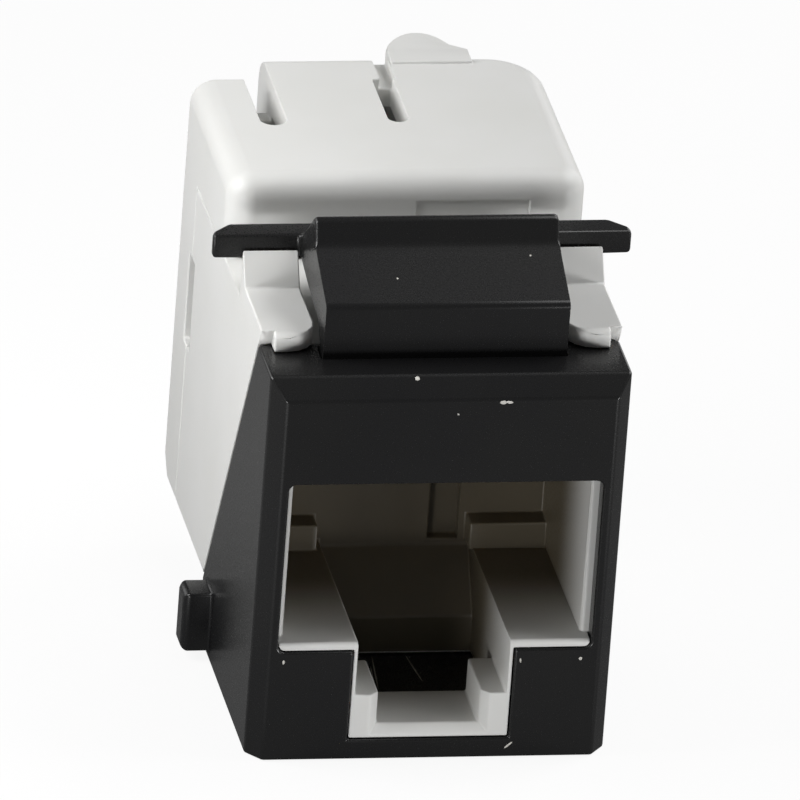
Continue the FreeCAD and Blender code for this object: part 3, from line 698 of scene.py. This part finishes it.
# Pale specks on the face and its bevel. A turn of 90 about X lays a mark on the face
FACE_DUST = MarkField("face_dust", "jack_body", Slot.BLACK, (
    Mark((-1.39, -11.864, 16.379), (0.19, 0.17, 0.06), (46.9, 0.0, 0.0)),
    Mark((2.00, -12.5, 15.585), (0.26, 0.16, 0.05), (90.0, 0.0, 0.0)),
    Mark((2.25, -12.5, 15.590), (0.28, 0.11, 0.04), (90.0, 6.0, 0.0)),
    Mark((-6.05, -12.5, 4.33), (0.10, 0.17, 0.03), (90.0, 0.0, 0.0)),
    Mark((3.485, -12.5, 4.255), (0.07, 0.20, 0.03), (90.0, -8.0, 0.0)),
    Mark((5.90, -12.5, 4.30), (0.14, 0.14, 0.04), (90.0, 0.0, 0.0)),
    Mark((3.25, -12.5, 0.53), (0.42, 0.08, 0.04), (90.0, -41.5, 0.0)),
    Mark((0.23, -12.5, 15.09), (0.09, 0.07, 0.03), (90.0, 0.0, 0.0)),
))
# Two specks on the latch's slope
LATCH_DUST = MarkField("latch_dust", "latch", Slot.BLACK, (
    Mark((-1.854, -8.804, 19.291), (0.09, 0.09, 0.04), (21.2, 0.0, 0.0)),
    Mark((3.646, -7.729, 19.711), (0.08, 0.08, 0.04), (28.6, 0.0, 0.0)),
))
# Two scratches along the floor of the notch's well, and a rub beside the first
WELL_SCRATCHES = MarkField("well_scratches", "jack_body", Slot.BLACK, (
    Mark((-1.09, -6.52, 0.85), (3.1, 0.06, 0.02), (0.0, 0.0, 85.1)),
    Mark((-1.25, -6.9, 0.85), (2.0, 0.04, 0.02), (0.0, 0.0, 85.1)),
    Mark((0.55, -6.17, 0.85), (2.4, 0.07, 0.02), (0.0, 0.0, 96.6)),
))


def dress_node(frame: dict, node: str, material: bpy.types.Material) -> None:
    """Give a carried-over CAD node its finish.

    Args:
        frame: The loaded frame.
        node: The node's name.
        material: The finish.
    """
    piece = frame["nodes"][node]
    for index in range(len(piece.data.materials)):
        piece.data.materials[index] = material


# ------------------------------------------------------------------------------------------
# Studio


@dataclass(frozen=True)
class SoftBox:
    """A rectangular soft box that faces the jack."""

    name: str
    azimuth_deg: float
    elevation_deg: float
    distance: float
    width: float
    height: float
    brightness: float

    def hang(self, aim: Vector) -> bpy.types.Object:
        """Hang the soft box.

        Args:
            aim: The point that it faces.

        Returns:
            The lamp, whose power follows from its brightness and its area.
        """
        data = bpy.data.lights.new(self.name, "AREA")
        data.shape = "RECTANGLE"
        data.size = self.width
        data.size_y = self.height
        data.energy = self.brightness * math.pi * self.width * self.height
        lamp = bpy.data.objects.new(self.name, data)
        bpy.context.scene.collection.objects.link(lamp)
        azimuth, elevation = math.radians(self.azimuth_deg), math.radians(self.elevation_deg)
        away = Vector((math.cos(azimuth) * math.cos(elevation),
                       math.sin(azimuth) * math.cos(elevation), math.sin(elevation)))
        lamp.location = aim + away * self.distance
        lamp.rotation_euler = away.to_track_quat("Z", "Y").to_euler()
        return lamp


# Azimuth runs from the jack's right side, 0, over its rear, 90, to its left side, 180. The last
# three are small and close. They light the left side and, from low down, both halves of the face
SOFT_BOXES = (
    SoftBox("right_box", azimuth_deg=11.0, elevation_deg=49.0, distance=0.5,
            width=0.36, height=0.34, brightness=4.6),
    SoftBox("rear_right_box", azimuth_deg=45.0, elevation_deg=16.0, distance=0.5,
            width=0.38, height=0.24, brightness=1.8),
    SoftBox("rear_left_box", azimuth_deg=135.0, elevation_deg=16.0, distance=0.5,
            width=0.38, height=0.24, brightness=1.4),
    SoftBox("left_box", azimuth_deg=184.0, elevation_deg=37.0, distance=0.056,
            width=0.03, height=0.03, brightness=8.2),
    SoftBox("front_left_box", azimuth_deg=232.0, elevation_deg=-4.0, distance=0.085,
            width=0.03, height=0.008, brightness=32.0),
    SoftBox("front_right_box", azimuth_deg=312.0, elevation_deg=-4.0, distance=0.085,
            width=0.03, height=0.008, brightness=36.0),
)


@dataclass
class Studio:
    """White floor, soft boxes and the camera that looks down at the jack's front from its left."""

    azimuth_deg: float = -11.8
    elevation_deg: float = 25.2
    roll_deg: float = 4.3
    distance: float = 1.0
    view_width: float = 0.03181
    sensor_mm: float = 36.0
    aim: tuple[float, float, float] = (-0.00007, -0.0025, 0.01095)
    clip_near: float = 0.05
    clip_far: float = 20.0
    floor_half: float = 3.0
    floor_gap_mm: float = 0.02
    floor_grey: str = "#757575"
    floor_white: float = 0.9
    ambient: float = 0.05
    # Mirrored rays find only this share of the white background: all of it lifts the black faces
    mirrored_white: float = 0.07

    def camera(self) -> bpy.types.Object:
        """Make the camera and set it as the scene's camera.

        Returns:
            The camera object.
        """
        azimuth, elevation, roll = (math.radians(angle) for angle in (
            self.azimuth_deg, self.elevation_deg, self.roll_deg))
        back = Vector((math.sin(azimuth) * math.cos(elevation),
                       -math.cos(azimuth) * math.cos(elevation), math.sin(elevation)))
        right = Vector((math.cos(azimuth), math.sin(azimuth), 0.0))
        up = back.cross(right)
        right_rolled = right * math.cos(roll) + up * math.sin(roll)
        up_rolled = up * math.cos(roll) - right * math.sin(roll)
        turn = Matrix((right_rolled, up_rolled, back)).transposed().to_4x4()
        data = bpy.data.cameras.new("camera")
        data.sensor_width = self.sensor_mm
        data.lens = self.sensor_mm * self.distance / self.view_width
        data.clip_start = self.clip_near
        data.clip_end = self.clip_far
        camera = bpy.data.objects.new("camera", data)
        bpy.context.scene.collection.objects.link(camera)
        camera.matrix_world = Matrix.Translation(Vector(self.aim) + back * self.distance) @ turn
        bpy.context.scene.camera = camera
        return camera

    def floor(self) -> bpy.types.Object:
        """Make the pale floor under the jack.

        Returns:
            The floor.
        """
        half = self.floor_half
        mesh = bpy.data.meshes.new("floor")
        mesh.from_pydata([(-half, -half, 0), (half, -half, 0), (half, half, 0), (-half, half, 0)],
                         [], [(0, 1, 2, 3)])
        piece = new_object("floor", mesh)
        mesh.transform(Matrix.Translation((0, 0, -self.floor_gap_mm * MM)))
        material, tree = blank_material("studio_floor")
        white = self.white_share(tree, self.floor_white)
        seen = add_node(tree, "ShaderNodeLightPath").outputs["Is Camera Ray"]
        shade = add_node(tree, "ShaderNodeMix", {
            "Factor": seen, 6: linear(self.floor_grey), 7: linear("#FFFFFF")}, data_type="RGBA")
        plain = add_node(tree, "ShaderNodeBsdfDiffuse", {"Color": shade.outputs[2]})
        glow = add_node(tree, "ShaderNodeEmission", {"Color": (1, 1, 1, 1), "Strength": 1.0})
        mixed = add_node(tree, "ShaderNodeMixShader", {
            0: white, 1: plain.outputs[0], 2: glow.outputs[0]})
        add_node(tree, "ShaderNodeOutputMaterial", {"Surface": mixed.outputs[0]})
        mesh.materials.append(material)
        return piece

    def white_share(self, tree: bpy.types.NodeTree, shown: float) -> bpy.types.NodeSocket:
        """Say how much of the white background a ray finds.

        Args:
            tree: The node tree that takes the nodes.
            shown: The share for the camera and for what is seen through clear pieces.

        Returns:
            The share: as given for camera and transmission rays, mirrored_white for mirrored rays,
            and none for the rest.
        """
        seen = add_node(tree, "ShaderNodeLightPath").outputs
        direct = add_node(tree, "ShaderNodeMath", {
            0: seen["Is Camera Ray"], 1: seen["Is Transmission Ray"]}, operation="MAXIMUM")
        shown_share = add_node(tree, "ShaderNodeMath", {0: direct.outputs[0], 1: shown},
                               operation="MULTIPLY")
        mirrored = add_node(tree, "ShaderNodeMath", {
            0: seen["Is Glossy Ray"], 1: self.mirrored_white}, operation="MULTIPLY")
        return add_node(tree, "ShaderNodeMath", {0: shown_share.outputs[0], 1: mirrored.outputs[0]},
                        operation="MAXIMUM").outputs[0]

    def world(self) -> None:
        """Make the world: white to the camera and dim to everything that it lights."""
        world = bpy.data.worlds.new("studio")
        bpy.context.scene.world = world
        world.use_nodes = True
        tree = world.node_tree
        tree.nodes.clear()
        strength = add_node(tree, "ShaderNodeMix", {
            "Factor": self.white_share(tree, 1.0), 2: self.ambient, 3: 1.0})
        light = add_node(tree, "ShaderNodeBackground", {
            "Color": (1, 1, 1, 1), "Strength": strength.outputs[0]})
        add_node(tree, "ShaderNodeOutputWorld", {"Surface": light.outputs[0]})

    def build(self) -> None:
        """Build the camera, the floor, the world and the lamps."""
        self.camera()
        self.floor()
        self.world()
        for box in SOFT_BOXES:
            box.hang(Vector(self.aim))
        bpy.context.scene.view_settings.view_transform = "Standard"


# ------------------------------------------------------------------------------------------


# The contacts stand in a row. The housing's faces are split over each slot before they are rounded
CONTACTS = 8
CONTACT_PITCH_MM = 1.02


def main() -> None:
    """Load the frame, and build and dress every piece."""
    logging.basicConfig(level=logging.INFO, format="%(name)s: %(message)s")
    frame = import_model()
    Studio().build()

    black = BLACK_SHELL.build()
    pale = PALE_SHELL.build()
    middle = (CONTACTS - 1) / 2
    housing_cuts = (("X", 0.0), *(("X", CONTACT_PITCH_MM * (k - middle)) for k in range(CONTACTS)))
    mouldings = [
        (SoftMoulding("keystone_frame", "frame_shell", "jack_body", Slot.BLACK, edge_mm=0.12,
                      cuts_mm=(("X", 0.0), ("Z", 1.675))), black),
        (SoftMoulding("release_latch", "latch_arm", "latch", Slot.BLACK, edge_mm=0.2), black),
        (SoftMoulding("jack_housing", "housing_shell", "jack_body", Slot.PALE, edge_mm=0.09,
                      cuts_mm=housing_cuts), PALE_SOCKET.build()),
        (SoftMoulding("wire_cap", "cap_shell", "cap", Slot.PALE, edge_mm=0.08,
                      cuts_mm=(("X", 0.45),), sag=TONGUE_DOME), pale),
    ]
    for moulding, material in mouldings:
        piece = moulding.build(frame, material)
        LOG.info("%s: %d faces", piece.name, len(piece.data.polygons))

    dust = PALE_DUST.build()
    FACE_DUST.build(dust)
    LATCH_DUST.build(dust)
    WELL_SCRATCHES.build(RUBBED_BLACK.build())

    dress_node(frame, "terminal_block", pale)
    dress_node(frame, "contact_carrier", DARK_COMB.build())
    dress_node(frame, "circuit_board", GREEN_BOARD.build())
    gold = GOLD_STRIP.build()
    tin = TIN_STRIP.build()
    for node in frame["nodes"]:
        if node.startswith("contact_wire_"):
            dress_node(frame, node, gold)
        elif node.startswith("idc_blade_"):
            dress_node(frame, node, tin)


if __name__ == "__main__":
    main()
